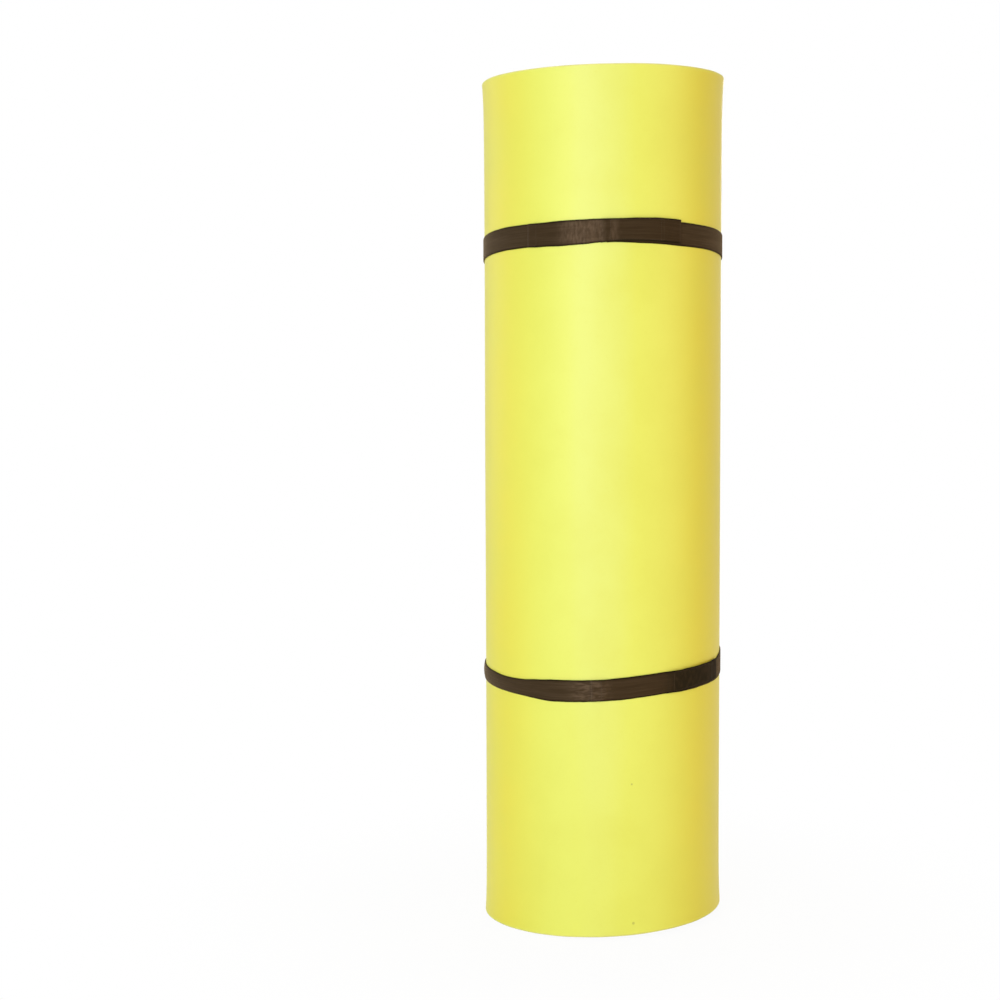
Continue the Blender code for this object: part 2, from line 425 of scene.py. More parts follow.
def layerRing(layer, levels, inset):
    # (depth, along) round the layer's cross-section; inset rounds the mat's free ends
    low, high = layer["from"], layer["to"]
    inner, outer = layer["innerCorner"], layer["outerCorner"]
    bottom, top = inset, mat["width"] - inset
    low += inset if inner > roundedFrom else 0.0
    high -= inset if outer > roundedFrom else 0.0

    def corner(depth, along, radius, quarter):
        # an arc of a quarter turn
        turns = [math.radians(90 * quarter + 22.5 * step) for step in range(5)]
        arc = [(radius * math.sin(turn), radius * math.cos(turn)) for turn in turns]
        return [(depth + out, along - down) for out, down in arc]

    ring = corner(high - outer, bottom + outer, outer, 0)
    ring += [(high, min(max(level, bottom + outer), top - outer)) for level in levels]
    ring += corner(high - outer, top - outer, outer, 1)
    ring.append(((low + high) / 2, top))
    ring += corner(low + inner, top - inner, inner, 2)
    ring += [(low, min(max(level, bottom + inner), top - inner)) for level in reversed(plainLevels)]
    ring += corner(low + inner, bottom + inner, inner, 3)
    ring.append(((low + high) / 2, bottom))
    return ring


def windingAngles():
    # one row each few degrees, closer where the two free ends are rounded off
    step = fullTurn / mat["stepsPerTurn"]
    first = [innerEnd + offset / middleRadius for offset in mat["endRows"]]
    last = [outerEnd - offset / outerRadius for offset in reversed(mat["endRows"])]
    count = math.ceil((last[0] - first[-1]) / step)
    return first[:-1] + spaced(first[-1], last[0], count) + last[1:]


def makeLayer(name, seed, material):
    layer = layers[name]
    points, cut, wear = [], [], []
    angles = windingAngles()
    levels = fineLevels if name == "yellowFoam" else plainLevels
    hair = 0.0002           # nearer than this to an end counts as on it
    typicalRadius = 0.16    # turns angles into lengths for the unevenness
    for angle in angles:
        fromEnd = min((angle - innerEnd) * middleRadius, (outerEnd - angle) * outerRadius)
        near = max(0.0, 1 - fromEnd / mat["endRows"][-1])
        inset = mat["endRounding"] * (1 - math.sqrt(max(0.0, 1 - near ** 2)))
        ring = layerRing(layer, levels, inset)
        arcLength = typicalRadius * angle
        for depth, along in ring:
            endGap = min(along, mat["width"] - along)
            atFace = min(depth - layer["from"], layer["to"] - depth) < hair / 2
            isCut = 1.0 if endGap < hair or near == 1.0 else (0.0 if atFace else 0.7)
            push = mat["cutWobble"] * math.exp(-endGap / mat["cutWobbleReach"])
            sway = ripple(9 * arcLength, 3.1, 0.5) + 0.8 * ripple(31 * arcLength, seed, along)
            x, y, z = matPoint(angle, depth, along)
            z += push * (0.9 + sway) if along < mat["width"] / 2 else push * sway
            points.append((x, y, max(z, 0.0)))
            cut.append(isCut)
            wear.append(math.exp(-min(endGap, fromEnd) / mat["wearReach"]))
    faces = sweptFaces(len(angles), len(ring))
    marks = {"cutFace": cut, "edgeWear": wear}
    piece = meshObject(name, points, faces, material, marks)
    print(name, "has", len(points), "points")
    return piece


# foam material

foamLook = {
    "yellow": {
        "faceOn": (0.854, 0.912, 0.194),
        "colour": (0.866, 0.916, 0.152),
        "shade": (0.798, 0.808, 0.100),
        "slant": (0.886, 0.812, 0.076),
        "rim": (0.780, 0.730, 0.330),
        "roughness": 0.42,
    },
    "black": {
        "faceOn": (0.021, 0.027, 0.040),
        "colour": (0.020, 0.026, 0.038),
        "shade": (0.012, 0.016, 0.024),
        "slant": (0.018, 0.022, 0.032),
        "rim": (0.026, 0.032, 0.044),
        "roughness": 0.72,
    },
    "blue": {
        "faceOn": (0.19, 0.67, 0.80),
        "colour": (0.17, 0.66, 0.80),
        "shade": (0.12, 0.55, 0.70),
        "slant": (0.13, 0.58, 0.76),
        "rim": (0.24, 0.64, 0.76),
        "roughness": 0.60,
    },
    "faceOnTo": 0.055,      # painted highlight: the skin seen straight on is painted paler, up to here
    "slantFrom": 0.03,      # painted shade: from here on the skin is painted deeper in colour as it turns away
    "slantFull": 0.50,
    "shine": {
        "Specular IOR Level": 0.47, "IOR": 1.45, "Sheen Weight": 0.11, "Sheen Roughness": 0.30,
    },
    "bump": (0.35, 0.0006),     # strength and distance
    "nicks": [(16.2, 0.0262, 0.0042), (15.5, 0.325, 0.0028)],      # degrees round, height, size
    "nickColour": (0.24, 0.25, 0.05),
    "nickShare": 0.38,
    # noise scale, detail and roughness
    "clouds": (7.0, 3.0, 0.55),
    "freckles": (160.0, 3.0, 0.6),
    "pebble": (900.0, 2.0, 0.5),
    "scuffs": (60.0, 4.0, 0.65),
    "cellScale": 1100.0,
    # how far each of these takes the skin over to the next colour
    "cloudShare": 0.30,
    "freckleShare": 0.16,
    # painted shade in the hollows of the cut cells
    "pitShare": 0.55,
    "cutPaleness": 0.12,
    "scuffShare": 0.45,
    "rimShare": 0.50,
}


def makeFoamSkin():
    inputs = {
        "Face Colour": (0.8, 0.8, 0.2),
        "Shade Colour": (0.7, 0.7, 0.1),
        "Rim Colour": (0.7, 0.7, 0.3),
        "Skin Roughness": 0.6,
        "Cut": 0.0,
        "Wear": 0.0,
        "Nick": 0.0,
    }
    tree, given, result = newGroup("foamSkin", inputs)
    spot = addNode(tree, "ShaderNodeTexCoord").outputs["Object"]
    grains = ("clouds", "freckles", "pebble", "scuffs")
    clouds, freckles, pebble, scuffs = [grainNoise(spot, *foamLook[key]) for key in grains]
    cellInputs = {"Vector": spot, "Scale": foamLook["cellScale"]}
    cells = addNode(tree, "ShaderNodeTexVoronoi", cellInputs).outputs["Distance"]
    # slow mottling and fine freckles in the skin
    patchy = times(remap(clouds, 0.35, 0.75), foamLook["cloudShare"])
    speck = times(remap(freckles, 0.52, 0.80), foamLook["freckleShare"])
    shade = given["Shade Colour"]
    skin = blendColour(plus(patchy, speck), given["Face Colour"], shade)
    # open cells where the foam was cut, their hollows darkened with painted shade
    hollowShade = remap(cells, 0.55, 0.15)
    pitShaded = blendColour(times(hollowShade, foamLook["pitShare"]), skin, shade)
    paler = blendColour(foamLook["cutPaleness"], pitShaded, (1.0, 1.0, 1.0))
    colour = blendColour(given["Cut"], skin, paler)
    # scuffs along the edges
    worn = times(remap(scuffs, 0.50, 0.72), given["Wear"])
    colour = blendColour(times(worn, foamLook["scuffShare"]), colour, shade)
    # the rounded rim is duller, but not the cut face
    dulled = times(remap(given["Wear"], 0.45, 1.0), foamLook["rimShare"])
    dulled = times(dulled, remap(given["Cut"], 0.72, 0.95, 1.0, 0.0))
    colour = blendColour(dulled, colour, given["Rim Colour"])
    nicked = times(given["Nick"], foamLook["nickShare"])
    feed(tree, result["Colour"], blendColour(nicked, colour, foamLook["nickColour"]))
    rough = plus(given["Skin Roughness"], times(freckles, 0.12))
    rough = plus(rough, times(given["Cut"], 0.18), clamp=True)
    feed(tree, result["Roughness"], rough)
    skinHeight = plus(times(pebble, 0.25), times(freckles, 0.35))
    cutHeight = times(given["Cut"], times(cells, 1.2))
    heights = plus(skinHeight, cutHeight)
    feed(tree, result["Height"], calc("SUBTRACT", heights, times(given["Nick"], 1.5)))
    return tree


foamSkin = makeFoamSkin()


def nickShare(tree):
    # small nicks in the skin of the outer turn, dented and darker in colour
    spot = addNode(tree, "ShaderNodeTexCoord").outputs["Object"]
    total = 0.0
    for degrees, height, size in foamLook["nicks"]:
        place = tuple(matPoint(math.radians(degrees), mat["thickness"], height))
        away = addNode(tree, "ShaderNodeVectorMath", {0: spot, 1: place}, operation="DISTANCE")
        inside = remap(away.outputs["Value"], size, size * 0.4)
        total = calc("MAXIMUM", total, inside)
    return total


def foamMaterial(name, look):
    material, tree, shader = newMaterial(name, foamLook["shine"])
    wear = mark(tree, "edgeWear")
    facing = addNode(tree, "ShaderNodeLayerWeight", {"Blend": 0.5}).outputs["Facing"]
    # painted highlight and painted shade: paler where the skin is seen straight on, deeper as it turns
    # away, less so at the rounded rim
    turned = remap(facing, 0.0, foamLook["faceOnTo"])
    skin = blendColour(turned, look["faceOn"], look["colour"])
    slant = remap(facing, foamLook["slantFrom"], foamLook["slantFull"])
    slant = times(slant, remap(wear, 0.30, 0.80, 1.0, 0.35))
    values = {
        "Face Colour": blendColour(slant, skin, look["slant"]),
        "Shade Colour": look["shade"],
        "Rim Colour": look["rim"],
        "Skin Roughness": look["roughness"],
        "Cut": mark(tree, "cutFace"),
        "Wear": wear,
    }
    if look is foamLook["yellow"]:
        values["Nick"] = nickShare(tree)
    finishSurface(tree, shader, foamSkin, values, foamLook["bump"])
    return material


for colourName, seed in (("blue", 11.0), ("black", 23.0), ("yellow", 37.0)):
    material = foamMaterial(colourName + "ClosedCellFoam", foamLook[colourName])
    piece = makeLayer(colourName + "Foam", seed, material)
    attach(piece, "roll")
    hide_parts(colourName + "_foam_layer")


# the straps

straps = {
    "upper": {
        "middle": 1.4717,
        "frontRise": 0.0258,
        "rightRise": 0.005,
        "tabEnd": math.radians(40.2),
        "width": 0.0475,
        "endDark": 0.0,         # painted shadow: how dark the tab's end is painted
        # (degrees, low edge, high edge): how many mm each edge lies off the plain slanting band
        "edges": [
            (-110, 0, 0), (-64, 0.5, 1.8), (-52, 0, 1.4), (-38, -1.8, -0.7),
            (-27, -4.6, -2), (-17.5, -6.4, -1.4), (-8, -5.3, -1.4),
            (1, -2.4, -0.7), (10, 0.3, -1), (19, -0.3, 0),
            (29, -0.4, 1.5), (38, -0.8, 1.9), (47, -0.5, 2),
            (54, -0.5, 1.5), (73, -0.5, 2.4), (120, 0, 0),
        ],
        # (from, full from, full to, to) in degrees and the strength of each stretch of raised pile
        # with a painted sheen highlight
        "rubbed": [(-22, -11, 0.5, 4.0, 0.90), (4.6, 6.2, 7.0, 10.5, 0.60)],
        "brushed": [],
        "flatTab": 0.15,        # painted shade: how far the tab is painted darker
        "creases": {"seed": 5, "low": -17, "high": 10, "count": 24, "height": 0.00045},
    },
    "lower": {
        "middle": 0.558,
        "frontRise": -0.0212,
        "rightRise": 0.011,
        "tabEnd": math.radians(71.4),
        "width": 0.0455,
        "endDark": 0.8,
        "edges": [
            (-110, 0, 0), (-64, -2, 0.4), (-52, -2.4, -1), (-38, -3.6, 0),
            (-33, -3.8, 0.7), (-24, -4, 0), (-17, -2.5, -1.1),
            (-8, -2.1, -1.4), (1, -1.3, -1.3), (10, -1.6, 0),
            (19, -0.4, 1.1), (29, 0, 1.1), (34, -0.3, 0.6),
            (42, -1.4, -1.6), (54, -2.8, -4.6), (65, -4.6, -6.8),
            (71, -5.8, -7.8), (78, -5.8, -3), (120, 0, 0),
        ],
        "rubbed": [],
        "brushed": [(-18, -6, -1, 8, 0.70)],
        "flatTab": 1.0,
        "creases": {"seed": 9, "low": -14, "high": -2, "count": 6, "height": 0.0003},
        # the stretch that is gathered narrower, and cupped
        "narrow": {
            "full": math.radians(-15),
            "tight": math.radians(-43),
            "tightBack": math.radians(-110),
            "looseBack": math.radians(-150),
            "share": 0.685,
            "cup": 0.006,
        },
    },
}

webbing = {
    "thickness": 0.0020,
    "gap": 0.00015,
    "hookThickness": 0.0012,
    "hookWidth": 0.044,
    "frontLength": 0.346,
    "overlap": 0.168,
    "lap": 0.025,
    "hingeLead": 0.012,
    "step": 0.016,
    "grip": 0.042,
    "hookMargin": 0.004,
    "drift": 0.0024,
    "driftRun": 0.110,
    "slip": 0.0002,         # between two lengths of webbing, or webbing and hooks
    "rowPitch": 0.0070,     # plain spacing of the rows along the webbing
    "leastPitch": 0.0004,
}

cadStrapRadius = 0.2646     # turns the straps' lengths into angles


def strapHeight(strap, angle):
    # the middle of the strap's width, without the drift of its ends
    front = strap["frontRise"] * math.cos(angle)
    return strap["middle"] + front + strap["rightRise"] * math.sin(angle)


def cross(a, b, c):
    return (b[0] - a[0]) * (c[1] - a[1]) - (b[1] - a[1]) * (c[0] - a[0])


def tautLoop(strap, slide):
    # the outline that the strap is pulled tight round, as (angle, radius) about the spiral's axis;
    # it clears the roll all the way from one end of the strap's slide to the other
    low, high = slide
    half = strap["width"] / 2
    angleCount, heightCount = 480, 20
    spots = []
    for angle in spaced(outerEnd - fullTurn, outerEnd, angleCount):
        middle = strapHeight(strap, angle)
        radius = 0.0
        for shift in spaced(low - half, high + half, heightCount):
            along = middle + shift
            rise = matPoint(angle, mat["thickness"], along)[2] - along
            x, y, z = matPoint(angle, mat["thickness"], along - rise)
            radius = max(radius, math.hypot(x + middleX, y + middleY))
        spots.append(polar(angle, radius + webbing["gap"]))
    spots.sort()
    halves = []
    for ordered in (spots, spots[::-1]):
        half = []
        for spot in ordered:
            while len(half) > 1 and cross(half[-2], half[-1], spot) <= 0:
                half.pop()
            half.append(spot)
        halves.append(half[:-1])
    loop = sorted((math.atan2(x, -y), math.hypot(x, y)) for x, y in halves[0] + halves[1])
    return loop + [(loop[0][0] + fullTurn, loop[0][1])]


def tautRadius(loop, angle):
    turned = (angle - loop[0][0]) % fullTurn + loop[0][0]
    for (angleA, radiusA), (angleB, radiusB) in zip(loop, loop[1:]):
        if turned <= angleB:
            reach = radiusB * math.sin(angleB - turned) + radiusA * math.sin(turned - angleA)
            return radiusA * radiusB * math.sin(angleB - angleA) / reach
    return loop[-1][1]


def strapPoint(angle, radius, height):
    x, y = polar(angle, radius)
    return x - middleX, y - middleY, height


def randomCreases(seed, low, high, count, height):
    # (middle, place across, lean, spread, height, reach) of each crease
    draw = random.Random(seed)
    made = []
    for _ in range(count):
        middle, place = math.radians(draw.uniform(low, high)), draw.uniform(-0.016, 0.016)
        lean, spread = draw.uniform(-0.35, 0.35), draw.uniform(0.0009, 0.0022)
        rise, reach = draw.uniform(0.3, 1.0) * height, draw.uniform(0.008, 0.022)
        made.append((middle, place, lean, spread, rise, reach))
    return made


def planStrap(strap, slide):
    # the strap with the angles of its ends, seam, hinge and hook tape
    turn = {name: length / cadStrapRadius for name, length in webbing.items()}
    tabEnd = strap["tabEnd"] + fullTurn
    riseEnd = tabEnd - turn["overlap"]
    seam = tabEnd - turn["frontLength"]
    return dict(
        strap,
        tabEnd=tabEnd,
        underEnd=riseEnd - fullTurn,
        riseEnd=riseEnd,
        hinge=riseEnd - turn["hingeLead"],
        seam=seam,
        lapEnd=seam + turn["lap"],
        hooksStart=riseEnd + turn["hookMargin"],
        hooksEnd=tabEnd - turn["grip"],
        step=turn["step"],
        driftTurn=turn["driftRun"],
        creases=randomCreases(**strap["creases"]),
        loop=tautLoop(strap, slide),
    )


overBand = webbing["thickness"] + webbing["slip"]
overHooks = overBand + webbing["hookThickness"] + webbing["slip"]


def frontOffset(plan, angle):
    # how far the front webbing stands off the roll, over the band and over band and hooks
    step = plan["step"]
    lap = overBand * (1 - smooth(plan["lapEnd"], plan["lapEnd"] + step, angle))
    tab = overHooks * smooth(plan["riseEnd"] - step, plan["riseEnd"], angle)
    bare = plan["hooksEnd"] + webbing["hookMargin"] / cadStrapRadius
    return lap + tab - (overHooks - overBand) * smooth(bare, bare + step, angle)


def frontDrift(plan, angle):
    # the tab was pressed down a little above the band
    return webbing["drift"] * smooth(plan["hinge"], plan["hinge"] + plan["driftTurn"], angle)


def bandDrift(plan, angle):
    # the band under the tab sits a little low, less so at its very end
    covered = plan["tabEnd"] - fullTurn
    end = plan["underEnd"]
    settled = 0.35 + 0.65 * smooth(end, end + plan["driftTurn"] / 3, angle)
    return -webbing["drift"] * settled * (1 - smooth(covered, covered + plan["driftTurn"], angle))


def wrapped(angle):
    # an angle between -180 and 180 degrees
    return (angle + math.pi) % fullTurn - math.pi


def edgeShift(plan, angle):
    # (low edge, high edge): how far the two edges lie off the plain band at this angle
    here = math.degrees(wrapped(angle))
    edges = plan["edges"]
    for (fromHere, lowA, highA), (toHere, lowB, highB) in zip(edges, edges[1:]):
        if fromHere <= here <= toHere:
            share = smooth(fromHere, toHere, here)
            return mm * (lowA + (lowB - lowA) * share), mm * (highA + (highB - highA) * share)
    return 0.0, 0.0


def edgePlace(plan, angle, across):
    # the height of a point across the webbing, measured from the plain band's middle
    half = plan["width"] / 2
    low, high = edgeShift(plan, angle)
    share = (across + half) / (2 * half)
    return across * widthShare(plan, angle) + low + (high - low) * share


def widthShare(plan, angle):
    # a stretch where the webbing is gathered narrower
    narrow = plan.get("narrow")
    if not narrow:
        return 1.0
    front = smooth(narrow["full"], narrow["tight"], wrapped(angle))
    back = smooth(narrow["looseBack"], narrow["tightBack"], wrapped(angle))
    return 1 - (1 - narrow["share"]) * front * back


def creaseHeight(plan, angle, across):
    # fine creases that cross the webbing
    total = 0.0
    for middle, place, lean, spread, height, reach in plan["creases"]:
        off = (wrapped(angle) - middle) * cadStrapRadius - lean * (across - place)
        if abs(off) < 3 * spread:
            total += height * bell(off, spread) * smooth(reach, reach * 0.3, abs(across - place))
    return total


def sheenPileShare(stretches, angle, across):
    # where the face of the webbing is painted paler: raised pile with a painted sheen highlight
    total = 0.0
    here = math.degrees(wrapped(angle)) + 1.2 * ripple(120 * across, 40 * angle, 2.0)
    for low, full, fading, high, strength in stretches:
        total += strength * smooth(low, full, here) * (1 - smooth(fading, high, here))
    return total


def webRing(width, thickness, acrossCount):
    # (across, up) round the webbing's cross-section, its selvedges thinner and rounded
    half = width / 2
    flatFrom, underFrom, underEdge = 0.0016, 0.005, 0.0005
    selvedge = [(0.0, 0.30), (0.0, 0.55), (0.0003, 0.74), (0.0009, 0.84)]
    flat = spaced(flatFrom - half, half - flatFrom, acrossCount)
    ring = [(inwards - half, thickness * share) for inwards, share in selvedge]
    ring += [(across, thickness) for across in flat]
    ring += [(half - inwards, thickness * share) for inwards, share in reversed(selvedge)]
    under = [half - underEdge] + spaced(half - underFrom, underFrom - half, 4) + [underEdge - half]
    return ring + [(across, 0.0) for across in under]


def stripAngles(first, last, fineParts):
    # angles from first to last, closer together inside each (from, to, spacing)
    angles = [first]
    while angles[-1] < last:
        gap = webbing["rowPitch"]
        for low, high, spacing in fineParts:
            if low - spacing / cadStrapRadius <= angles[-1] <= high:
                gap = min(gap, spacing)
        angles.append(min(last, angles[-1] + gap / cadStrapRadius))
    near = webbing["leastPitch"] / cadStrapRadius
    if len(angles) > 2 and angles[-1] - angles[-2] < near:
        angles.pop(-2)
    # one row lies right on the corner of the mat's free end, which the strap bends over
    for turn in (-1, 0, 1):
        corner = wrapped(outerEnd) + turn * fullTurn
        if first + near < corner < last - near:
            angles = [angle for angle in angles if abs(angle - corner) > near] + [corner]
    return sorted(angles)


def webbingMarks(plan, angle, across, first, last, width, seed):
    # what the material reads at one point of the webbing
    fromFirst, fromLast = (angle - first) * cadStrapRadius, (last - angle) * cadStrapRadius
    frayed = 0.75 + 0.5 * ripple(150 * across, seed, 0.3)
    # painted shadow where the tab's end stands off the band
    endShadow = plan["endDark"] * bell(fromLast, 0.0016)
    # painted shade over the tab, from the hinge on
    flat = smooth(plan["hinge"] - 0.07, plan["hooksStart"] + 0.06, angle)
    return {
        "rubbedFace": sheenPileShare(plan["rubbed"], angle, across),
        "brushedFace": sheenPileShare(plan["brushed"], angle, across),
        "sealedEnd": math.exp(-fromFirst / 0.0020) * frayed + 0.25 * math.exp(-fromLast / 0.0011),
        # painted shade along both edges of the webbing, and the painted shadow at the tab's end
        "selvedge": max(bell(width / 2 - abs(across), 0.0025), endShadow),
        "flatPile": flat * plan["flatTab"],
    }


def makeStrip(
    name, plan, first, last, offset, drift, width, thickness, material, fineParts, seed,
    acrossCount=14,
):
    # one length of webbing laid round the roll
    ring = webRing(width, thickness, acrossCount)
    points, uvs, marks = [], [], {}
    angles = stripAngles(first, last, fineParts)
    for angle in angles:
        base = tautRadius(plan["loop"], angle) + offset(plan, angle)
        fromEnd = min(angle - first, last - angle) * cadStrapRadius
        worn = 0.30 * thickness * bell(fromEnd, 0.0006)      # the cut ends are pinched thin
        share = widthShare(plan, angle)
        middle = strapHeight(plan, angle) + drift(plan, angle)
        cupped = plan.get("narrow", {}).get("cup", 0.0) * (1 - share)
        for across, up in ring:
            sway = 0.00035 * ripple(60 * angle, seed, 40 * across)
            lift = creaseHeight(plan, angle, across) * (up / thickness)
            lift += cupped * (1 - (2 * across / width) ** 2)
            lift += 0.00010 * ripple(45 * angle, 90 * across, seed)
            up = up - worn if up > thickness / 2 else up + worn * 0.3
            height = middle + edgePlace(plan, angle, across) + sway
            points.append(strapPoint(angle, base + up + lift, height))
            uvs.append((angle * cadStrapRadius, across))
            here = webbingMarks(plan, angle, across, first, last, width, seed)
            for markName, value in here.items():
                marks.setdefault(markName, []).append(value)
    faces = sweptFaces(len(angles), len(ring))
    return meshObject(name, points, faces, material, marks, uvs)


def frontSpot(plan, angle, across, lift):
    # a point over the outside of the front webbing
    radius = tautRadius(plan["loop"], angle) + frontOffset(plan, angle) + webbing["thickness"]
    radius += creaseHeight(plan, angle, across) + lift
    height = strapHeight(plan, angle) + frontDrift(plan, angle) + edgePlace(plan, angle, across)
    return Vector(strapPoint(angle, radius, height))


stitchLook = {
    "length": 0.0032,
    "pause": 0.0009,
    "radius": 0.00034,
    "rise": 0.00022,
    "sides": 6,
    "inset": 0.0030,
}


def roundAbout(middle, first, second, size, turn):
    # a point on a small ring about the middle, between two directions
    return tuple(middle + first * size * math.cos(turn) + second * size * math.sin(turn))


def addStitch(points, faces, plan, start, end):
    # one stitch from start to end, each (angle, across), sunk at both ends
    sides, rings = stitchLook["sides"], 5
    begin, base = len(points), stitchLook["rise"]
    outward = Vector((*polar(start[0], 1.0), 0.0))
    run = (frontSpot(plan, *end, 0.0) - frontSpot(plan, *start, 0.0)).normalized()
    sideways = run.cross(outward).normalized()
    for count in range(rings):
        share = count / (rings - 1)
        arch = math.sin(math.pi * (0.08 + 0.84 * share))
        where = [a + (b - a) * share for a, b in zip(start, end)]
        middle = frontSpot(plan, *where, base * (2 * arch - 1.2))
        size = stitchLook["radius"] * (0.45 + 0.55 * arch)
        for side in range(sides):
            turn = fullTurn * side / sides
            points.append(roundAbout(middle, sideways, outward, size, turn))
    faces += sweptFaces(rings, sides, begin)


def stitchLine(points, faces, plan, start, end):
    # a row of stitches between two places, each (angle, across)
    length = math.hypot((end[0] - start[0]) * cadStrapRadius, end[1] - start[1])
    pitch = stitchLook["length"] + stitchLook["pause"]
    count = max(1, round(length / pitch))
    for step in range(count):
        shares = (step / count, step / count + stitchLook["length"] / pitch / count)
        spots = [[a + (b - a) * share for a, b in zip(start, end)] for share in shares]
        addStitch(points, faces, plan, *spots)


def stitchBox(plan, first, last, extraRows=()):
    # rows of stitches round a box on the webbing, and further rows across it
    points, faces = [], []
    inset = stitchLook["inset"]
    low, high = first + inset / cadStrapRadius, last - inset / cadStrapRadius
    half = plan["width"] / 2 - inset
    corners = [(low, -half), (high, -half), (high, half), (low, half)]
    for start, end in zip(corners, corners[1:] + corners[:1]):
        stitchLine(points, faces, plan, start, end)
    for back in extraRows:
        angle = high - back / cadStrapRadius
        stitchLine(points, faces, plan, (angle, -half), (angle, half))
    return points, faces


# strap materials

strapLook = {
    "front": {
        "Base Colour": (0.055, 0.0330, 0.0138),
        "Light Colour": (0.100, 0.064, 0.033),
        "Rib Pitch": 0.0016,
        "Yarn Pitch": 0.0011,
        "Fuzz": 0.35,
    },
    "band": {
        "Base Colour": (0.056, 0.0345, 0.0148),
        "Light Colour": (0.104, 0.069, 0.039),
        "Rib Pitch": 0.0021,
        "Yarn Pitch": 0.0013,
        "Fuzz": 0.85,
    },
    "hooks": {
        "Base Colour": (0.026, 0.018, 0.011),
        "Light Colour": (0.045, 0.033, 0.022),
        "Rib Pitch": 0.0020,
        "Yarn Pitch": 0.0020,
        "Fuzz": 0.15,
    },
    "thread": {
        "Base Colour": (0.060, 0.038, 0.019),
        "Light Colour": (0.088, 0.059, 0.034),
    },
}

weaveGrain = {
    # noise scale along and across the webbing, and detail
    "streaks": (9.0, 300.0, 3.0),
    "bands": (4.0, 90.0, 2.0),
    "fluff": (1300.0, 1300.0, 2.0),
    "strokes": (230.0, 55.0, 4.0),
    "patches": (110.0, 70.0, 2.0),
    "brush": (45.0, 230.0, 3.0),
    # how far streaks, bands, fluff and the painted shade in the hollows of the weave change the colour
    "streakShare": 0.50,
    "bandShare": 0.34,
    "fluffShare": 0.30,
    "hollowShare": 0.30,
    "hollowColour": (0.012, 0.009, 0.006),
    # paler colour of the painted sheen highlight on raised pile
    "raisedColour": (0.24, 0.165, 0.11),
    # colour of the painted shade over the tab
    "flatColour": (0.021, 0.0145, 0.006),
    # colour of the painted shade along the edges
    "edgeColour": (0.010, 0.007, 0.001),
    # paler colour of the sealed cut ends
    "meltedColour": (0.16, 0.115, 0.08),
    "bump": (0.7, 0.0004),
}


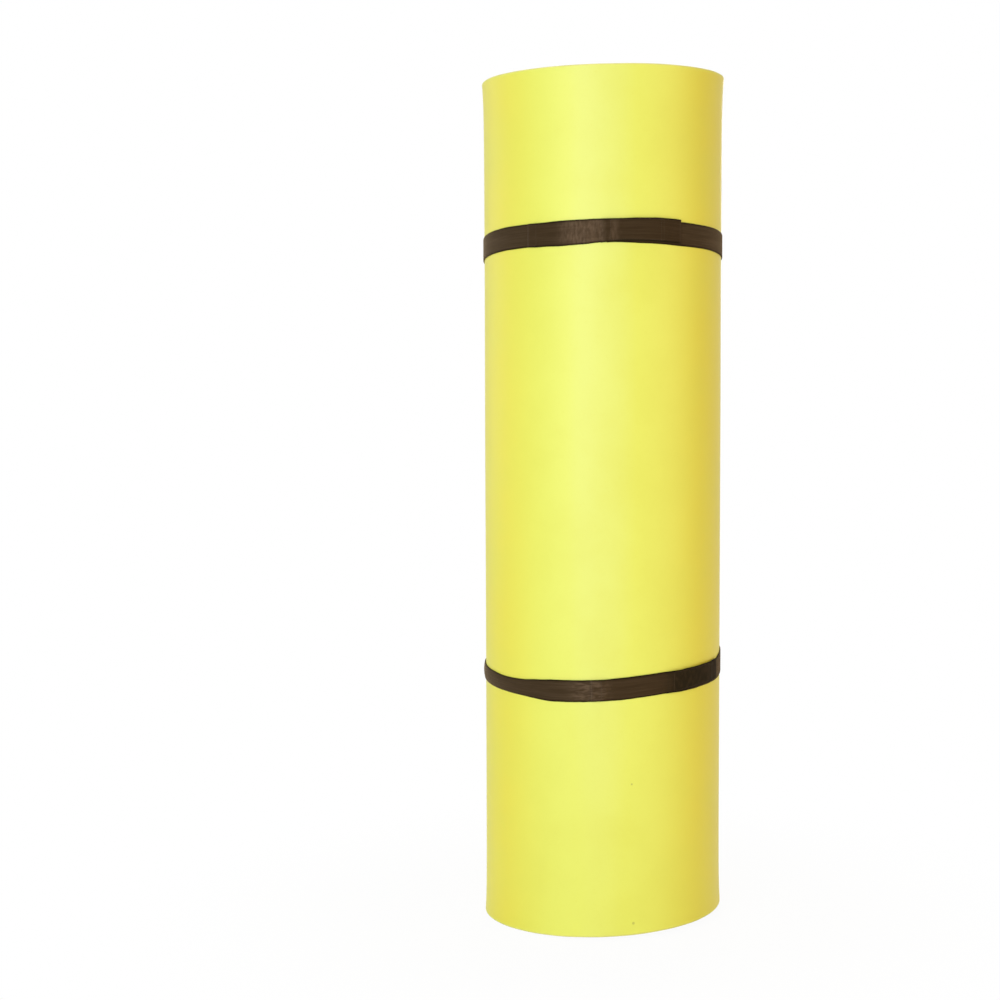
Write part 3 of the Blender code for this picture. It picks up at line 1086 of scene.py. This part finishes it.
def makeWovenWebbing():
    inputs = {
        "Base Colour": (0.06, 0.04, 0.03),
        "Light Colour": (0.10, 0.07, 0.05),
        "Rib Pitch": 0.0016,
        "Yarn Pitch": 0.0011,
        "Fuzz": 0.3,
        "Rubbed": 0.0,
        "Brushed": 0.0,
        "Sealed": 0.0,
        "Selvedge": 0.0,
        "Flat Pile": 0.0,
    }
    tree, given, result = newGroup("wovenWebbing", inputs)
    uv = addNode(tree, "ShaderNodeUVMap", uv_map="strapMap").outputs[0]
    split = addNode(tree, "ShaderNodeSeparateXYZ", {0: uv}).outputs
    along, across = split[0], split[1]

    def stretched(key):
        alongScale, acrossScale, detail = weaveGrain[key]
        scaled = {0: times(along, alongScale), 1: times(across, acrossScale)}
        vector = addNode(tree, "ShaderNodeCombineXYZ", scaled).outputs[0]
        return grainNoise(vector, 1.0, detail, 0.55)

    # yarns run along the webbing and ribs across it, each yarn half a rib on from the last
    yarns = calc("DIVIDE", across, given["Yarn Pitch"])
    shift = times(calc("FLOOR", yarns), math.pi)
    ribTurn = times(calc("DIVIDE", along, given["Rib Pitch"]), fullTurn)
    ribs = calc("SINE", plus(ribTurn, shift))
    ribs = plus(times(ribs, 0.5), 0.5)
    crowns = calc("ABSOLUTE", calc("SINE", times(yarns, math.pi)))
    weave = times(ribs, crowns)
    streaks, bands, fluff = [stretched(key) for key in ("streaks", "bands", "fluff")]
    strokes, patches, brush = [stretched(key) for key in ("strokes", "patches", "brush")]
    # paler streaks and fluff over the woven colour
    fluffy = times(fluff, given["Fuzz"])
    pale = times(remap(streaks, 0.42, 0.72), weaveGrain["streakShare"])
    pale = plus(pale, times(remap(bands, 0.45, 0.70), weaveGrain["bandShare"]))
    pale = plus(pale, times(fluffy, weaveGrain["fluffShare"]))
    colour = blendColour(pale, given["Base Colour"], given["Light Colour"])
    # painted shade: the hollows of the weave are darkened
    hollowShade = times(calc("SUBTRACT", 1.0, weave), weaveGrain["hollowShare"])
    colour = blendColour(hollowShade, colour, weaveGrain["hollowColour"])
    # painted sheen highlight: rubbed pile in short strokes across the webbing, brushed pile in strokes
    # along it, painted paler
    strokeShare = remap(strokes, 0.32, 0.70, 0.50, 1.0)
    patchShare = remap(patches, 0.30, 0.62, 0.45, 1.0)
    raisedSheen = times(times(strokeShare, patchShare), given["Rubbed"])
    brushShare = remap(brush, 0.38, 0.66, 0.10, 1.0)
    raisedSheen = plus(raisedSheen, times(brushShare, given["Brushed"]))
    raisedSheen = times(raisedSheen, 0.90, clamp=True)
    raisedColour = blendColour(0.45, given["Light Colour"], weaveGrain["raisedColour"])
    colour = blendColour(raisedSheen, colour, raisedColour)
    # painted shade: the tab is darkened
    tabShaded = times(given["Flat Pile"], remap(patches, 0.32, 0.60, 0.62, 0.98))
    colour = blendColour(tabShaded, colour, weaveGrain["flatColour"])
    # painted shade along both edges, and painted shadow at the tab's end
    colour = blendColour(given["Selvedge"], colour, weaveGrain["edgeColour"])
    # the sealed cut ends are painted paler
    paleEnd = times(given["Sealed"], 0.5)
    colour = blendColour(paleEnd, colour, weaveGrain["meltedColour"])
    feed(tree, result["Colour"], colour)
    rough = plus(0.62, times(given["Fuzz"], 0.25))
    rough = calc("SUBTRACT", rough, times(given["Sealed"], 0.25))
    feed(tree, result["Roughness"], plus(rough, times(streaks, 0.1), clamp=True))
    crisp = calc("SUBTRACT", 1.0, times(given["Fuzz"], 0.7))
    feed(tree, result["Height"], plus(times(weave, crisp), fluffy))
    return tree


wovenWebbing = makeWovenWebbing()


def webbingMaterial(name, look, sheen):
    fixed = {"Specular IOR Level": 0.05, "Sheen Weight": sheen, "Sheen Roughness": 0.36}
    fixed["Sheen Tint"] = (0.88, 0.68, 0.44)
    material, tree, shader = newMaterial(name, fixed)
    values = dict(look)
    for socketName, markName in (
        ("Rubbed", "rubbedFace"), ("Brushed", "brushedFace"), ("Sealed", "sealedEnd"),
        ("Selvedge", "selvedge"), ("Flat Pile", "flatPile"),
    ):
        values[socketName] = mark(tree, markName)
    finishSurface(tree, shader, wovenWebbing, values, weaveGrain["bump"])
    return material


def threadMaterial():
    look = strapLook["thread"]
    fixed = {"Specular IOR Level": 0.2, "Sheen Weight": 0.05}
    material, tree, shader = newMaterial("twistedThread", fixed)
    spot = addNode(tree, "ShaderNodeTexCoord").outputs["Object"]
    twist = {"Vector": spot, "Scale": 2600.0, "Distortion": 0.6}
    strands = addNode(tree, "ShaderNodeTexWave", twist, bands_direction="DIAGONAL").outputs["Fac"]
    colour = blendColour(strands, look["Base Colour"], look["Light Colour"])
    rough = remap(strands, 0.0, 1.0, 0.55, 0.75)
    coverShader(tree, shader, colour, rough, strands, (0.5, 0.0002))
    return material


strapMaterials = {
    "front": webbingMaterial("plainWebbing", strapLook["front"], 0.03),
    "band": webbingMaterial("loopWebbing", strapLook["band"], 0.38),
    "hooks": webbingMaterial("hookTape", strapLook["hooks"], 0.0),
    "thread": threadMaterial(),
}


# the two straps, each with its band, front webbing, hooks and stitches

hookLook = {
    "tape": 0.0005,         # thickness of the woven tape under the hooks
    "pitch": 0.0020,
    "stalk": [(0.0, 0.00016), (0.00042, 0.00013), (0.00062, 0.00010)],      # (reach, radius)
    "bend": 0.00022,
    "sink": 0.00005,        # how deep the stalks stand in the tape
    "margin": 0.0035,       # how much narrower than the webbing the tape is at least
}


def addHook(points, faces, root, outward, along):
    # one small hook, a three-sided stalk that bends over at its tip
    begin = len(points)
    across = outward.cross(along)
    for step, (reach, size) in enumerate(hookLook["stalk"]):
        middle = root - outward * reach + along * (hookLook["bend"] * step ** 2 / 2)
        for side in range(3):
            turn = fullTurn * side / 3
            points.append(roundAbout(middle, along, across, size, turn))
    faces += sweptFaces(len(hookLook["stalk"]), 3, begin)


def addHooks(name, plan, material):
    # the woven tape of the hooks, and rows of hooks on its inner side
    base, pitch = hookLook["tape"], hookLook["pitch"]
    lift = webbing["hookThickness"] - base

    def tapeOffset(plan, angle):
        return overBand + lift

    first, last = plan["hooksStart"], plan["hooksEnd"]
    width = min(webbing["hookWidth"], plan["width"] - hookLook["margin"])
    tape = makeStrip(
        name, plan, first, last, tapeOffset, frontDrift, width, base, material, [], 3.0, 8,
    )
    points, faces = [], []
    rows = int((last - first) * cadStrapRadius / pitch) - 2
    lines = int(width / pitch) - 2
    for row in range(rows):
        angle = first + (1.5 + row) * pitch / cadStrapRadius
        radius = tautRadius(plan["loop"], angle) + overBand + lift + hookLook["sink"]
        outward = Vector((*polar(angle, 1.0), 0.0))
        along = Vector((math.cos(angle), math.sin(angle), 0.0))
        height = strapHeight(plan, angle) + frontDrift(plan, angle)
        for line in range(lines + 1):
            across = (line - lines / 2 + 0.25 * (-1) ** row) * pitch
            root = Vector(strapPoint(angle, radius, height + edgePlace(plan, angle, across)))
            addHook(points, faces, root, outward, along * (-1) ** line)
    hooks = meshObject(name + "Points", points, faces, material)
    return tape, hooks


def makeStrap(key, seed):
    body, tab = key + "_strap", key + "_tab"
    joints = {joint["name"]: joint for joint in frame["joints"]}
    plan = planStrap(straps[key], joints[body + "_slide"]["range_m"])
    label = key + "Strap"
    thickness, width = webbing["thickness"], plan["width"]
    # the stretches painted with a sheen highlight, where the rows lie closer
    worn = plan["rubbed"] + plan["brushed"]
    low, high = [math.radians(degrees) + fullTurn for degrees in (worn[0][0], worn[-1][3])]
    fineFront = [
        (low - 0.03, high + 0.03, 0.0010),
        (plan["seam"] - 0.01, plan["lapEnd"] + plan["step"], 0.0020),
        (plan["hinge"] - 0.02, plan["hooksStart"] + 0.02, 0.0011),
        (plan["hooksEnd"], plan["hooksEnd"] + 0.10, 0.0025),
        (plan["tabEnd"] - 0.012, plan["tabEnd"], 0.0006),
        (plan["seam"], plan["seam"] + 0.012, 0.0006),
    ]
    fineBand = [
        (plan["underEnd"], plan["underEnd"] + 0.012, 0.0006),
        (plan["lapEnd"] - 0.012, plan["lapEnd"], 0.0006),
    ]
    band = makeStrip(
        label + "Band", plan, plan["underEnd"], plan["lapEnd"], lambda plan, angle: 0.0,
        bandDrift, width, thickness, strapMaterials["band"], fineBand, seed,
    )
    front = makeStrip(
        label + "Front", plan, plan["seam"], plan["tabEnd"], frontOffset,
        frontDrift, width, thickness, strapMaterials["front"], fineFront, seed + 1,
    )
    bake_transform(front)
    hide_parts(body + "_front_band", body + "_tab")
    tape, hooks = addHooks(label + "Hooks", plan, strapMaterials["hooks"])
    thread = strapMaterials["thread"]
    stitches = stitchBox(plan, plan["seam"], plan["lapEnd"])
    lapStitches = meshObject(label + "LapStitches", *stitches, thread)
    stitches = stitchBox(plan, plan["hooksStart"], plan["hooksEnd"], (0.006,))
    tabStitches = meshObject(label + "TabStitches", *stitches, thread)
    # what each piece rides on, the solid that it stands for and its finish
    for piece, carrier, node, slot in (
        (band, body, "_loop_band", "webbing"),
        (tape, tab, "_hook_tape", "hook_tape"),
        (hooks, tab, "", "hook_tape"),
        (lapStitches, body, "_lap_stitching", "thread"),
        (tabStitches, tab, "_tab_stitching", "thread"),
    ):
        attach(piece, carrier)
        if node:
            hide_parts(body + node)


makeStrap("upper", 1.0)
makeStrap("lower", 5.0)
